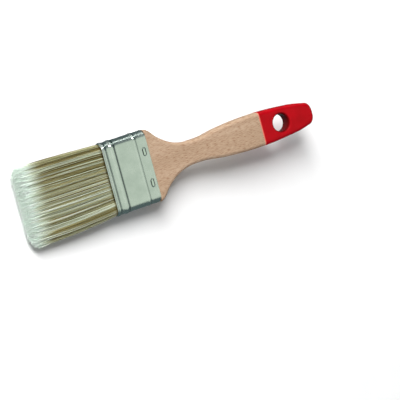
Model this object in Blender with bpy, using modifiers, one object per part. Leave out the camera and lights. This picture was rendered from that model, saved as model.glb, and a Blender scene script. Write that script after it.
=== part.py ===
"""Flat 50 mm paint brush: beech handle with a lacquer-dipped end, beaded metal ferrule, bristle rows.

The brush lies flat, as on a bench. +X runs from the bristle tips to the end of the handle, Y is the
width and +Z is up. The origin is the centre of the brush's footprint, on the surface that it lies on.
Lengths are metres; a place along the brush is measured from the ferrule's mouth, where the bristles
come out, towards the handle.
"""

import math

import bmesh
import bpy
from mathutils import Matrix, Vector

# Ferrule: a sheet-metal sleeve, oval in section, with three raised beads around it.
FERRULE_WIDTH = 0.0510
FERRULE_THICKNESS = 0.0108
FERRULE_LENGTH = 0.0343
SHEET = 0.00035
BEAD_HEIGHT = 0.00045
BEAD_CREST = 0.0009
BEADS = ((0.0019, 0.0014), (0.0084, 0.0014), (0.0256, 0.0011))  # place of the crest, half-width at the foot

# Handle: one flat board with rounded edges; its head is milled to fill the ferrule.
BOARD_THICKNESS = 0.0099
BOARD_EDGE_RADIUS = 0.0026
HEAD_START = 0.0206
HANDLE_END = 0.1671
HANDLE_HALF_OUTLINE = (  # place along the brush, half-width
    (0.0362, 0.02505),
    (0.0380, 0.02390),
    (0.0452, 0.01660),
    (0.0570, 0.01000),
    (0.0715, 0.00825),
    (0.0930, 0.01070),
    (0.1180, 0.01190),
    (0.1420, 0.01085),
    (0.1610, 0.00815),
    (0.1650, 0.00660),
)

# Lacquer dip on the end of the handle, and the hanging hole through it.
DIP_START = 0.1238
LACQUER = 0.0004
LACQUER_PROUD = 0.0001
HOLE_PLACE = 0.1401
HOLE_RADIUS = 0.0060
HOLE_LIP_RADIAL = 0.0017
HOLE_LIP_AXIAL = 0.0026

# Staples that hold the ferrule on the head: two on each face.
STAPLE_PLACE = 0.0309
STAPLE_SPACING = 0.0212
STAPLE_CROWN = 0.0055
STAPLE_WIRE_WIDTH = 0.0015
STAPLE_WIRE_THICKNESS = 0.0003
STAPLE_LEG = 0.0042
STAPLE_LEG_THICKNESS = 0.0006

# Inside the ferrule: bristle roots around two spacer plugs, set in resin behind them.
ROOT_START = 0.0025
PLUG_START = 0.0080
RESIN_START = 0.0150
RESIN_LENGTH = 0.0054
PLUG_THICKNESS = 0.0016
PLUG_WIDTH = 0.0440
ROOT_CORE_HALF = 0.0011  # the middle row of roots fills this half-thickness between the plugs

# Bristles: three rows that bend together about an axis just outside the mouth.
BRISTLE_OUT = 0.0661
FLEX_PLACE = -0.0015
PACK_HALF_THICKNESS = 0.00482
ROOT_ROUNDING = 0.00003
PACK_STATIONS = (-0.0080, 0.0015, 0.0140, 0.0280, 0.0420, 0.0550, 0.0610, 0.0630, 0.0645, 0.0655, 0.0661)
PACK_WIDEST = 0.0480
PACK_SPREAD = 0.0017
PACK_CORNER = 0.0060
PACK_CORNER_DEPTH = 0.0050
PACK_SWELL = 0.05
PACK_THINNING = 0.20
PACK_TIP_ROUND = 0.0016
ROW_GAP = 0.0002
ROW_SPLIT = 0.0016

CLEARANCE = 0.0001
SEAT_CLEARANCE = 0.00015
CUT_MARGIN = 0.004
SHARP_ANGLE = math.radians(35)

# Worked out from the sizes above.
MOUTH_PLACE = 0.5 * (BRISTLE_OUT - HANDLE_END)
MID_HEIGHT = 0.5 * FERRULE_THICKNESS + BEAD_HEIGHT
MOUTH = Vector((MOUTH_PLACE, 0.0, MID_HEIGHT))
INNER_HALF_WIDTH = 0.5 * FERRULE_WIDTH - SHEET
INNER_HALF_THICKNESS = 0.5 * FERRULE_THICKNESS - SHEET
FILL_HALF_WIDTH = INNER_HALF_WIDTH - CLEARANCE
FILL_HALF_THICKNESS = INNER_HALF_THICKNESS - CLEARANCE
BOARD_HALF = 0.5 * BOARD_THICKNESS
PACK_HALF_WIDTH = FILL_HALF_WIDTH - CLEARANCE
ALONG_BRUSH = Matrix.Rotation(math.pi / 2, 4, "Y") @ Matrix.Rotation(math.pi / 2, 4, "Z")


def clear_scene():
    for obj in list(bpy.data.objects):
        bpy.data.objects.remove(obj, do_unlink=True)


def make_collection(name):
    collection = bpy.data.collections.new(name)
    bpy.context.scene.collection.children.link(collection)
    return collection


def make_material(name, colour, roughness, metallic=0.0):
    material = bpy.data.materials.new(name)
    material.use_nodes = True
    shader = material.node_tree.nodes["Principled BSDF"]
    shader.inputs["Base Color"].default_value = (*colour, 1.0)
    shader.inputs["Roughness"].default_value = roughness
    shader.inputs["Metallic"].default_value = metallic
    return material


def add_mesh_object(name, mesh, collection, material=None):
    """Put a mesh, drawn about the centre of the ferrule's mouth, in its place in the brush."""
    obj = bpy.data.objects.new(name, mesh)
    obj.location = MOUTH
    collection.objects.link(obj)
    if material is not None:
        mesh.materials.clear()
        mesh.materials.append(material)
    return obj


def make_cutter(obj):
    obj.hide_render = True
    obj.display_type = "WIRE"
    return obj


def box_mesh(name, low, high):
    mesh = bpy.data.meshes.new(name)
    shape = bmesh.new()
    bmesh.ops.create_cube(shape, size=1.0)
    size = Vector(high) - Vector(low)
    centre = 0.5 * (Vector(high) + Vector(low))
    place = Matrix.Translation(centre) @ Matrix.Diagonal((*size, 1.0))
    bmesh.ops.transform(shape, matrix=place, verts=shape.verts)
    shape.to_mesh(mesh)
    shape.free()
    return mesh


def add_boolean(obj, operand, operation):
    modifier = obj.modifiers.new(f"{operation.lower()} {operand.name}", "BOOLEAN")
    modifier.operation = operation
    modifier.object = operand


def mesh_from_curve(curve):
    """The welded mesh of a filled or bevelled curve."""
    holder = bpy.data.objects.new(curve.name, curve)
    bpy.context.scene.collection.objects.link(holder)
    evaluated = holder.evaluated_get(bpy.context.evaluated_depsgraph_get())
    mesh = bpy.data.meshes.new_from_object(evaluated)
    bpy.data.objects.remove(holder)
    shape = bmesh.new()
    shape.from_mesh(mesh)
    bmesh.ops.remove_doubles(shape, verts=shape.verts, dist=1e-6)
    bmesh.ops.recalc_face_normals(shape, faces=shape.faces)
    shape.to_mesh(mesh)
    shape.free()
    return mesh


def smooth(mesh):
    mesh.shade_smooth()
    mesh.set_sharp_from_angle(angle=SHARP_ANGLE)


def closed_outline(half_outline, end_x):
    """A half outline with its mirror image; end_x closes it on the centre line where the shape is rounded."""
    upper = [Vector((x, y, 0.0)) for x, y in half_outline]
    lower = [Vector((x, -y, 0.0)) for x, y in reversed(half_outline)]
    return upper + [Vector((end_x, 0.0, 0.0))] + lower


def board_mesh(name, rounded_points, straight_side, half_thickness, edge_radius, grow=0.0):
    """A flat board with rounded edges: straight sides from a square end, then a smooth outline.

    straight_side lists the upper straight side's points, from the square end on.
    """
    curve = bpy.data.curves.new(name, "CURVE")
    curve.dimensions = "2D"
    curve.fill_mode = "BOTH"
    curve.extrude = half_thickness - edge_radius
    curve.bevel_depth = edge_radius + grow
    curve.bevel_resolution = 2
    curve.offset = -edge_radius
    curve.resolution_u = 6
    spline = curve.splines.new("BEZIER")
    upper = [Vector((x, y, 0.0)) for x, y in straight_side]
    lower = [Vector((x, -y, 0.0)) for x, y in reversed(straight_side)]
    places = upper + rounded_points + lower
    spline.bezier_points.add(len(places) - 1)
    for point, place in zip(spline.bezier_points, places):
        point.co = place
        kind = "VECTOR" if place in upper + lower else "AUTO"
        point.handle_left_type = kind
        point.handle_right_type = kind
    spline.use_cyclic_u = True
    mesh = mesh_from_curve(curve)
    smooth(mesh)
    return mesh


def oval_bar_mesh(name, start, end, half_width, half_thickness):
    """A bar along the brush with the ferrule's oval section: flat faces and half-round sides."""
    curve = bpy.data.curves.new(name, "CURVE")
    curve.dimensions = "2D"
    curve.fill_mode = "BOTH"
    curve.extrude = 0.5 * (end - start)
    spline = curve.splines.new("POLY")
    places = oval_points(half_width, half_thickness)
    spline.points.add(len(places) - 1)
    for point, (y, z) in zip(spline.points, places):
        point.co = (y, z, 0.0, 1.0)
    spline.use_cyclic_u = True
    mesh = mesh_from_curve(curve)
    mesh.transform(Matrix.Translation((0.5 * (start + end), 0.0, 0.0)) @ ALONG_BRUSH)
    return mesh


def oval_points(half_width, half_thickness, steps=10):
    """The oval's outline, as (y, z): two half circles joined by straight sides."""
    points = []
    for side, first_angle in ((1, math.pi / 2), (-1, -math.pi / 2)):
        for step in range(steps + 1):
            angle = first_angle - math.pi * step / steps
            y = side * (half_width - half_thickness) + half_thickness * math.cos(angle)
            points.append((y, half_thickness * math.sin(angle)))
    return points


def capsule_mesh(name, half_width, radius, steps=10):
    """A round bar across the brush with ball ends: a profile turned about the flex axis."""
    mesh = bpy.data.meshes.new(name)
    shape = bmesh.new()
    profile = []
    for side, first_angle in ((1, math.pi / 2), (-1, 0.0)):
        for step in range(steps + 1):
            angle = first_angle - math.pi / 2 * step / steps
            y = side * (half_width - radius) + radius * math.sin(angle)
            profile.append(Vector((radius * math.cos(angle), y, 0.0)))
    points = [shape.verts.new(place) for place in profile]
    edges = [shape.edges.new(pair) for pair in zip(points, points[1:])]
    bmesh.ops.spin(shape, geom=points + edges, axis=(0.0, 1.0, 0.0), cent=(0.0, 0.0, 0.0),
                   angle=2 * math.pi, steps=24, use_merge=True)
    bmesh.ops.remove_doubles(shape, verts=shape.verts, dist=1e-6)
    bmesh.ops.recalc_face_normals(shape, faces=shape.faces)
    shape.to_mesh(mesh)
    shape.free()
    mesh.transform(Matrix.Translation((FLEX_PLACE, 0.0, 0.0)))
    return mesh


def hole_mesh(name, inset):
    """The hanging hole's space, grown by inset into the wood: a bore with rounded lips, turned about Z."""
    mesh = bpy.data.meshes.new(name)
    shape = bmesh.new()
    steps = 6
    lip = []
    for step in range(steps + 1):
        angle = math.pi / 2 * step / steps
        radius = HOLE_RADIUS + HOLE_LIP_RADIAL - (HOLE_LIP_RADIAL - inset) * math.cos(angle)
        height = BOARD_HALF + LACQUER_PROUD - HOLE_LIP_AXIAL + (HOLE_LIP_AXIAL - inset) * math.sin(angle)
        lip.append((radius, height))
    top = BOARD_HALF + CUT_MARGIN
    profile = [(0.0, top), (lip[-1][0], top)]
    profile += list(reversed(lip))
    profile += [(radius, -height) for radius, height in lip]
    profile += [(lip[-1][0], -top), (0.0, -top)]
    points = [shape.verts.new((radius, 0.0, height)) for radius, height in profile]
    edges = [shape.edges.new(pair) for pair in zip(points, points[1:])]
    bmesh.ops.spin(shape, geom=points + edges, axis=(0.0, 0.0, 1.0), cent=(0.0, 0.0, 0.0),
                   angle=2 * math.pi, steps=40, use_merge=True)
    bmesh.ops.remove_doubles(shape, verts=shape.verts, dist=1e-6)
    bmesh.ops.recalc_face_normals(shape, faces=shape.faces)
    shape.to_mesh(mesh)
    shape.free()
    mesh.transform(Matrix.Translation((HOLE_PLACE, 0.0, 0.0)))
    smooth(mesh)
    return mesh


def handle_board(name, grow=0.0):
    outline = closed_outline(HANDLE_HALF_OUTLINE, HANDLE_END)
    side = [(HEAD_START, FILL_HALF_WIDTH)]
    return board_mesh(name, outline, side, BOARD_HALF, BOARD_EDGE_RADIUS, grow)


def staple_boxes(face, side, grow):
    """Low and high corners of a staple's two legs, grown all round; face is 1 on top and -1 below."""
    boxes = []
    half_width = 0.5 * STAPLE_WIRE_WIDTH - CLEARANCE + grow
    half_leg = 0.5 * STAPLE_LEG_THICKNESS + grow
    for end in (-1, 1):
        y = side * 0.5 * STAPLE_SPACING + end * (0.5 * STAPLE_CROWN - STAPLE_LEG_THICKNESS)
        outer = 0.5 * FERRULE_THICKNESS + CLEARANCE + 0.5 * STAPLE_WIRE_THICKNESS + 4 * grow
        inner = BOARD_HALF - STAPLE_LEG - grow
        low_z, high_z = sorted((face * outer, face * inner))
        boxes.append((
            (STAPLE_PLACE - half_width, y - half_leg, low_z),
            (STAPLE_PLACE + half_width, y + half_leg, high_z),
        ))
    return boxes


def join_boxes(name, boxes):
    """One mesh of separate boxes."""
    joined = bmesh.new()
    for low, high in boxes:
        part = box_mesh(name, low, high)
        joined.from_mesh(part)
        bpy.data.meshes.remove(part)
    mesh = bpy.data.meshes.new(name)
    joined.to_mesh(mesh)
    joined.free()
    return mesh


def make_staple_slots(cutters):
    boxes = [box for face in (1, -1) for side in (1, -1) for box in staple_boxes(face, side, CLEARANCE)]
    return make_cutter(add_mesh_object("staple_slots_cutter", join_boxes("staple_slots", boxes), cutters))


def make_handle(parts, cutters, slots, wood):
    """The board, milled to the ferrule at its head and cut back under the lacquer, with hole and slots."""
    handle = add_mesh_object("handle", handle_board("handle"), parts, wood)

    milling = box_mesh("head_milling", (0.0, -FERRULE_WIDTH, -2 * BOARD_HALF),
                       (FERRULE_LENGTH + CLEARANCE, FERRULE_WIDTH, 2 * BOARD_HALF))
    milling = make_cutter(add_mesh_object("head_milling_cutter", milling, cutters))
    head = oval_bar_mesh("head", -CUT_MARGIN, FERRULE_LENGTH + CUT_MARGIN,
                         FILL_HALF_WIDTH, FILL_HALF_THICKNESS)
    head = make_cutter(add_mesh_object("head_keeper", head, cutters))
    add_boolean(milling, head, "DIFFERENCE")

    stripping = box_mesh("stripping", (DIP_START - CLEARANCE, -FERRULE_WIDTH, -2 * BOARD_HALF),
                         (HANDLE_END + CUT_MARGIN, FERRULE_WIDTH, 2 * BOARD_HALF))
    stripping = make_cutter(add_mesh_object("lacquer_recess_cutter", stripping, cutters))
    core = handle_board("core", LACQUER_PROUD - LACQUER - SEAT_CLEARANCE)
    core = make_cutter(add_mesh_object("lacquer_recess_keeper", core, cutters))
    add_boolean(stripping, core, "DIFFERENCE")

    bore = hole_mesh("wood_hole", LACQUER + SEAT_CLEARANCE)
    bore = make_cutter(add_mesh_object("wood_hole_cutter", bore, cutters))
    for cutter in (milling, stripping, bore, slots):
        add_boolean(handle, cutter, "DIFFERENCE")
    return handle


def make_lacquer(parts, cutters, red):
    """A skin over the end of the handle that also lines the hanging hole."""
    lacquer = add_mesh_object("red_lacquer_dip", handle_board("red_lacquer_dip", LACQUER_PROUD), parts, red)
    keep = box_mesh("dip", (DIP_START, -FERRULE_WIDTH, -2 * BOARD_HALF),
                    (HANDLE_END + CUT_MARGIN, FERRULE_WIDTH, 2 * BOARD_HALF))
    keep = make_cutter(add_mesh_object("dip_keeper", keep, cutters))
    inside = handle_board("dip_inside", LACQUER_PROUD - LACQUER)
    inside = make_cutter(add_mesh_object("dip_inside_cutter", inside, cutters))
    lining = hole_mesh("lining", LACQUER)
    lining = make_cutter(add_mesh_object("lining_keeper", lining, cutters))
    add_boolean(inside, lining, "DIFFERENCE")
    bore = make_cutter(add_mesh_object("bore_cutter", hole_mesh("bore", 0.0), cutters))
    add_boolean(lacquer, keep, "INTERSECT")
    add_boolean(lacquer, inside, "DIFFERENCE")
    add_boolean(lacquer, bore, "DIFFERENCE")
    return lacquer


def bead_profile():
    """The sheet's outer line along the ferrule, as (place, rise): three beads with flat crests."""
    line = [(0.0, 0.0)]
    for crest, half_width in BEADS:
        flank = half_width - 0.5 * BEAD_CREST
        for share in (0.0, 0.3, 0.7, 1.0):
            rise = 0.5 * (1 - math.cos(math.pi * share)) * BEAD_HEIGHT
            line.append((crest - half_width + flank * share, rise))
        for share in (1.0, 0.7, 0.3, 0.0):
            rise = 0.5 * (1 - math.cos(math.pi * share)) * BEAD_HEIGHT
            line.append((crest + half_width - flank * share, rise))
    line.append((FERRULE_LENGTH, 0.0))
    return line


def make_ferrule(parts, slots, metal):
    """The sleeve: the sheet's lengthwise section swept around the oval."""
    section = bpy.data.curves.new("sheet_section", "CURVE")
    section.dimensions = "2D"
    line = section.splines.new("POLY")
    outer = bead_profile()
    places = outer + [(place, rise - SHEET) for place, rise in reversed(outer)]
    line.points.add(len(places) - 1)
    for point, (place, rise) in zip(line.points, places):
        point.co = (-rise, place, 0.0, 1.0)
    line.use_cyclic_u = True
    section_object = bpy.data.objects.new("sheet_section", section)
    bpy.context.scene.collection.objects.link(section_object)

    path = bpy.data.curves.new("ferrule", "CURVE")
    path.dimensions = "2D"
    path.fill_mode = "NONE"
    path.bevel_mode = "OBJECT"
    path.bevel_object = section_object
    spline = path.splines.new("POLY")
    oval = oval_points(0.5 * FERRULE_WIDTH, 0.5 * FERRULE_THICKNESS)
    spline.points.add(len(oval) - 1)
    for point, (y, z) in zip(spline.points, oval):
        point.co = (y, z, 0.0, 1.0)
    spline.use_cyclic_u = True
    mesh = mesh_from_curve(path)
    bpy.data.objects.remove(section_object)
    mesh.transform(ALONG_BRUSH)
    smooth(mesh)
    ferrule = add_mesh_object("ferrule", mesh, parts, metal)
    add_boolean(ferrule, slots, "DIFFERENCE")
    return ferrule


def make_staples(parts, cutters, metal):
    """Four staples of flat wire: a crown on the sheet and two legs through it into the head."""
    for face, face_name in ((1, "front"), (-1, "back")):
        for side, side_name in ((1, "left"), (-1, "right")):
            inner = 0.5 * FERRULE_THICKNESS + CLEARANCE
            low_z, high_z = sorted((face * inner, face * (inner + STAPLE_WIRE_THICKNESS - 0.5 * CLEARANCE)))
            middle = side * 0.5 * STAPLE_SPACING
            low = (STAPLE_PLACE - 0.5 * STAPLE_WIRE_WIDTH, middle - 0.5 * STAPLE_CROWN, low_z)
            high = (STAPLE_PLACE + 0.5 * STAPLE_WIRE_WIDTH, middle + 0.5 * STAPLE_CROWN, high_z)
            crown = box_mesh("crown", low, high)
            staple = add_mesh_object(f"staple_{face_name}_{side_name}", crown, parts, metal)
            legs = join_boxes("legs", staple_boxes(face, side, 0.0))
            legs = make_cutter(add_mesh_object(f"{staple.name}_legs", legs, cutters))
            add_boolean(staple, legs, "UNION")


def make_setting(parts, resin, plug_material):
    """What sits behind the bristles: the resin block, and two plugs that hold the rows apart."""
    block = oval_bar_mesh("resin_setting", RESIN_START, RESIN_START + RESIN_LENGTH,
                          FILL_HALF_WIDTH, FILL_HALF_THICKNESS)
    add_mesh_object("resin_setting", block, parts, resin)
    for side, name in ((1, "front"), (-1, "back")):
        middle = side * (0.5 * PLUG_THICKNESS + ROOT_CORE_HALF)
        plug = box_mesh(f"spacer_plug_{name}", (PLUG_START, -0.5 * PLUG_WIDTH, middle - 0.5 * PLUG_THICKNESS),
                        (RESIN_START - SEAT_CLEARANCE, 0.5 * PLUG_WIDTH, middle + 0.5 * PLUG_THICKNESS))
        plug = add_mesh_object(f"spacer_plug_{name}", plug, parts, plug_material)
        bevel = plug.modifiers.new("eased edges", "BEVEL")
        bevel.width = 0.0003
        bevel.segments = 1


def row_limits(name, inner, outer):
    """Height limits of a row: the middle one straddles the centre, the others lie outside it."""
    if name == "middle":
        return -inner, inner
    if name == "front":
        return inner + outer, 2 * FERRULE_THICKNESS
    return -2 * FERRULE_THICKNESS, -inner - outer


def make_roots(parts, cutters, root_material):
    """The fixed stretch of each row, from the seat that the moving stretch turns in to the resin."""
    seat_growth = ROOT_ROUNDING + SEAT_CLEARANCE
    seat = capsule_mesh("seat", PACK_HALF_WIDTH + seat_growth, PACK_HALF_THICKNESS + seat_growth)
    seat = make_cutter(add_mesh_object("seat_cutter", seat, cutters))
    for name in ("front", "middle", "back"):
        bar = oval_bar_mesh(f"bristle_roots_{name}", ROOT_START, RESIN_START - SEAT_CLEARANCE,
                            FILL_HALF_WIDTH, FILL_HALF_THICKNESS)
        roots = add_mesh_object(f"bristle_roots_{name}", bar, parts, root_material)
        low, high = row_limits(name, ROOT_CORE_HALF - CLEARANCE, PLUG_THICKNESS + 2 * CLEARANCE)
        slab = box_mesh("slab", (-CUT_MARGIN, -FERRULE_WIDTH, low), (FERRULE_LENGTH, FERRULE_WIDTH, high))
        slab = make_cutter(add_mesh_object(f"{roots.name}_keeper", slab, cutters))
        add_boolean(roots, slab, "INTERSECT")
        add_boolean(roots, seat, "DIFFERENCE")


def loft_mesh(name, sections):
    """A closed solid through outlines with equal numbers of points, capped flat at both ends."""
    mesh = bpy.data.meshes.new(name)
    shape = bmesh.new()
    rings = [[shape.verts.new(place) for place in section] for section in sections]
    for ring, next_ring in zip(rings, rings[1:]):
        for index in range(len(ring)):
            after = (index + 1) % len(ring)
            shape.faces.new((ring[index], ring[after], next_ring[after], next_ring[index]))
    shape.faces.new(rings[0])
    shape.faces.new(rings[-1])
    bmesh.ops.recalc_face_normals(shape, faces=shape.faces)
    shape.to_mesh(mesh)
    shape.free()
    smooth(mesh)
    return mesh


def rounding(along, start, end, depth):
    """How far a quarter-ellipse corner has drawn in at a place between its start and the end of the shape."""
    share = min(1.0, max(0.0, (along - start) / (end - start)))
    return depth * (1 - math.sqrt(1 - (0.98 * share) ** 2))


def pack_mesh(name):
    """The free stretch of the bristles: it widens from the mouth, then thins towards rounded tips."""
    sections = []
    for out in PACK_STATIONS:
        free = max(0.0, out) / BRISTLE_OUT
        widening = min(1.0, max(0.0, out) / PACK_WIDEST)
        half_width = PACK_HALF_WIDTH + PACK_SPREAD * math.sin(0.5 * math.pi * widening)
        half_width -= rounding(out, BRISTLE_OUT - PACK_CORNER, BRISTLE_OUT, PACK_CORNER_DEPTH)
        swell = PACK_SWELL * math.sin(math.pi * free) - PACK_THINNING * free ** 3
        half_thickness = PACK_HALF_THICKNESS * (1 + swell)
        half_thickness -= rounding(out, BRISTLE_OUT - PACK_TIP_ROUND, BRISTLE_OUT, PACK_TIP_ROUND)
        sections.append([(-out, y, z) for y, z in oval_points(half_width, half_thickness)])
    return loft_mesh(name, sections)


def make_bristles(parts, cutters, bristle_material):
    """Three moving rows on an empty at the flex axis; their root ends are rounded about that axis."""
    axis = bpy.data.objects.new("bristle_flex_axis", None)
    axis.location = MOUTH + Vector((FLEX_PLACE, 0.0, 0.0))
    parts.objects.link(axis)
    root_end = capsule_mesh("root_end", PACK_HALF_WIDTH + ROOT_ROUNDING, PACK_HALF_THICKNESS + ROOT_ROUNDING)
    root_end = make_cutter(add_mesh_object("root_end_keeper", root_end, cutters))
    outside = box_mesh("outside", (-2 * BRISTLE_OUT, -FERRULE_WIDTH, -FERRULE_THICKNESS),
                       (FLEX_PLACE + ROOT_ROUNDING, FERRULE_WIDTH, FERRULE_THICKNESS))
    outside = make_cutter(add_mesh_object("pack_keeper", outside, cutters))
    add_boolean(outside, root_end, "UNION")
    for name in ("front", "middle", "back"):
        mesh = pack_mesh(f"bristle_row_{name}")
        mesh.transform(Matrix.Translation((-FLEX_PLACE, 0.0, 0.0)))
        row = add_mesh_object(f"bristle_row_{name}", mesh, parts, bristle_material)
        row.location = (0.0, 0.0, 0.0)
        row.parent = axis
        low, high = row_limits(name, ROW_SPLIT, ROW_GAP)
        slab = box_mesh("slab", (-2 * BRISTLE_OUT, -FERRULE_WIDTH, low),
                        (FERRULE_LENGTH, FERRULE_WIDTH, high))
        slab = make_cutter(add_mesh_object(f"{row.name}_keeper", slab, cutters))
        add_boolean(row, outside, "INTERSECT")
        add_boolean(row, slab, "INTERSECT")


def main():
    clear_scene()
    parts = make_collection("flat_paint_brush")
    cutters = make_collection("cutters")
    wood = make_material("beech", (0.51, 0.36, 0.24), 0.55)
    red = make_material("red_lacquer", (0.52, 0.01, 0.015), 0.22)
    metal = make_material("tinplate", (0.56, 0.62, 0.57), 0.32, 1.0)
    wire = make_material("staple_wire", (0.60, 0.62, 0.60), 0.30, 1.0)
    resin = make_material("setting_resin", (0.45, 0.36, 0.16), 0.25)
    plug_material = make_material("plug_wood", (0.55, 0.42, 0.28), 0.7)
    root_material = make_material("bristle_root", (0.24, 0.19, 0.09), 0.6)
    bristle_material = make_material("bristle", (0.48, 0.46, 0.30), 0.5)

    slots = make_staple_slots(cutters)
    make_handle(parts, cutters, slots, wood)
    make_lacquer(parts, cutters, red)
    make_ferrule(parts, slots, metal)
    make_staples(parts, cutters, wire)
    make_setting(parts, resin, plug_material)
    make_roots(parts, cutters, root_material)
    make_bristles(parts, cutters, bristle_material)


main()
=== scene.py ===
"""Looks of the flat paint brush: beech handle, red lacquer dip, tinned ferrule, staples and filaments.

Everything is in metres in the CAD's frame: +X from the bristle tips to the handle's end, +Z up. Places
along the brush are measured from the ferrule's mouth, towards the handle, unless they are called out,
which counts from the mouth towards the tips.
"""

import math

import bmesh
import bpy
import numpy as np
from mathutils import Matrix, Vector


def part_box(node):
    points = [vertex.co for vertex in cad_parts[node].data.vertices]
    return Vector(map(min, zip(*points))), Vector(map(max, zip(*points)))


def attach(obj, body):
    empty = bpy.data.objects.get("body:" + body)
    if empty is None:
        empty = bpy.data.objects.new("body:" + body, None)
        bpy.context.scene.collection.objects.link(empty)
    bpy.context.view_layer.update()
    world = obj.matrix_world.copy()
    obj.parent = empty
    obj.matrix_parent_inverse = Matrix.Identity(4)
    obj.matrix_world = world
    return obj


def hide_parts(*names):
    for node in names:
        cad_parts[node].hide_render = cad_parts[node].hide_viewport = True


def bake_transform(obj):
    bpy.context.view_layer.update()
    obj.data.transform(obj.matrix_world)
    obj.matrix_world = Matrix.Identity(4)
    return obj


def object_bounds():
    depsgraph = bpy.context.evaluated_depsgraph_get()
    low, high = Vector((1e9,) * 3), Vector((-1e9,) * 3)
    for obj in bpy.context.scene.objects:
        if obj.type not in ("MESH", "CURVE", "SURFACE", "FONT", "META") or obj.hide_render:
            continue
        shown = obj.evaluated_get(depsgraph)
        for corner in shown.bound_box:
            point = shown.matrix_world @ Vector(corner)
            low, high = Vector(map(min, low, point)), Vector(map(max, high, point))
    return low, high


SEED = 27

# Handle board: the half outline that the CAD uses, and the rounding along its edges.
BOARD_EDGE_RADIUS = 0.0026
HEAD_START = 0.0206
HANDLE_END = 0.1671
HANDLE_HALF_OUTLINE = (
    (0.0362, 0.02505),
    (0.0380, 0.02390),
    (0.0452, 0.01660),
    (0.0570, 0.01000),
    (0.0715, 0.00825),
    (0.0930, 0.01070),
    (0.1180, 0.01190),
    (0.1420, 0.01085),
    (0.1610, 0.00815),
    (0.1650, 0.00660),
)

# Lacquer dip and hanging hole.
LACQUER = 0.0004
LACQUER_PROUD = 0.0001
HOLE_PLACE = 0.1401
HOLE_RADIUS = 0.0060
HOLE_LIP_RADIAL = 0.0017
HOLE_LIP_AXIAL = 0.0026

# Ferrule: each bead as (crest, width towards the mouth, width towards the handle, share of full height), and
# each band of painted shade, in the valleys behind the beads, as (middle, reach, depth of colour).
SHEET = 0.00035
BEADS = ((0.0013, 0.0013, 0.0027, 1.0), (0.0078, 0.0024, 0.0026, 1.0), (0.0253, 0.0012, 0.0018, 0.55))
PAINTED_BEAD_SHADE = ((0.0026, 0.0016, 0.34), (0.0092, 0.0013, 0.55), (0.0263, 0.0008, 0.25))
SEAM_WIDTH = 0.0030
SEAM_RISE = 0.00012
MOUTH_RIM_BULGE = 0.8
HANDLE_RIM_BULGE = 0.3

# Staples and the dimples that they are pressed into.
STAPLE_PLACE = 0.0309
STAPLE_SPACING = 0.0220
STAPLE_LENGTH = 0.0049
STAPLE_WIDTH = 0.0016
STAPLE_HALF_DEPTH = 0.00022
STAPLE_LEG = 0.0040
STAPLE_SHOULDER = 0.0005
STAPLE_POINT = 0.45
DIMPLE_DEPTH = 0.00034
DIMPLE_FLOOR = 0.00030
DIMPLE_WALL = 0.00035
# Painted shade round each staple: how far inside the staple's outline it starts, and how wide it rises and
# fades.
GROOVE_DARK_INSIDE = 0.0004
GROOVE_DARK_EDGE = 0.0003

# Filaments: how they are packed, and how far they reach in and out of the mouth. Deeper in the pack than
# CORE_DEPTH, where nothing shows, only CORE_SHARE of them are made.
FILAMENT_PITCH = 0.00027
FILAMENT_SHAKE = 0.25
FILAMENT_RADIUS = 0.00016
TIP_RADIUS = 0.00007
CLUMPS = 1250
CORE_DEPTH = 0.0016
CORE_SHARE = 0.6
ROOT_IN = 0.0148
PLUG_IN = 0.0080
BRISTLE_OUT = 0.0661
STRAY_REACH = 0.0024

# The pack's sides: a small swell at the mouth, then a slow widening.
MOUTH_SWELL = 0.0004
MOUTH_SWELL_LENGTH = 0.002
WIDENING = 0.0014
WIDENING_LENGTH = 0.048

# The pack's rounded tip. Corners are (lower side, upper side). Filaments are shorter than the round by a
# random amount of their own, with this mean and limit, and by one that their clump shares.
CORNER_WIDTH = (0.0085, 0.0065)
CORNER_DEPTH = (0.0078, 0.0058)
CROWN_DEPTH = 0.0040
SHORT_MEAN = 0.0015
SHORT_MOST = 0.007
CLUMP_SHORT_SPREAD = 0.0009

# The filaments' rings, counted out from the mouth, then along the fade to the pale tip.
FIXED_RINGS = (-ROOT_IN, -0.0075, -0.0010, 0.0015, 0.0060, 0.0140, 0.0260, 0.0370)
FADE_RINGS = (0.0, 0.35, 0.70, 1.0)
RING_GAP = 0.0008
FADE_START = 0.0478
FADE_LENGTH = 0.0145
FADE_SLANT = 0.0022
FADE_SPREAD = 0.0025
CLUMP_FADE_SPREAD = 0.0004

# Their shades, from the darkest kind at 0 to the palest at 1. Spreads are standard deviations.
SHADE_MIDDLE = 0.49
SHADE_WAVE = 0.07
SHADE_SLANT = 0.09
SHADE_SPREAD = 0.18
CLUMP_SHADE_SPREAD = 0.27
# Painted shade for filaments deep in the pack: their kind is lowered by this much at BURIED_DEPTH in and
# deeper.
BURIED_PAINTED_SHADE = 0.22
BURIED_DEPTH = 0.0012

# Their wandering, as (across, up) standard deviations at the tips, and the lower side's flare.
CLUMP_LEAN = (0.00036, 0.00026)
LEAN = (0.00022, 0.00010)
SPLAY = (0.00055, 0.00030)
FLARE = 0.0015

# How far filaments gather to their clump, as shares of the way: at the mouth, then more outside it, then
# less towards the tips.
GATHER_AT_MOUTH = 0.24
GATHER_MORE = 0.24
GATHER_LESS = 0.36

# Stages along a filament in its map's second coordinate, which its colours follow.
MAP_INSIDE = 0.08
MAP_MOUTH = 0.20
MAP_FADE = 0.74
MAP_TIP = 0.99

# The export's bake writes through a map of this name and keeps one that is there already. The filaments'
# map: all filaments of a kind share a narrow column of it, and its second coordinate runs along them.
FILAMENT_MAP = "OFBake"

CLEARANCE = 0.0001
CUT_MARGIN = 0.004

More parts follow.
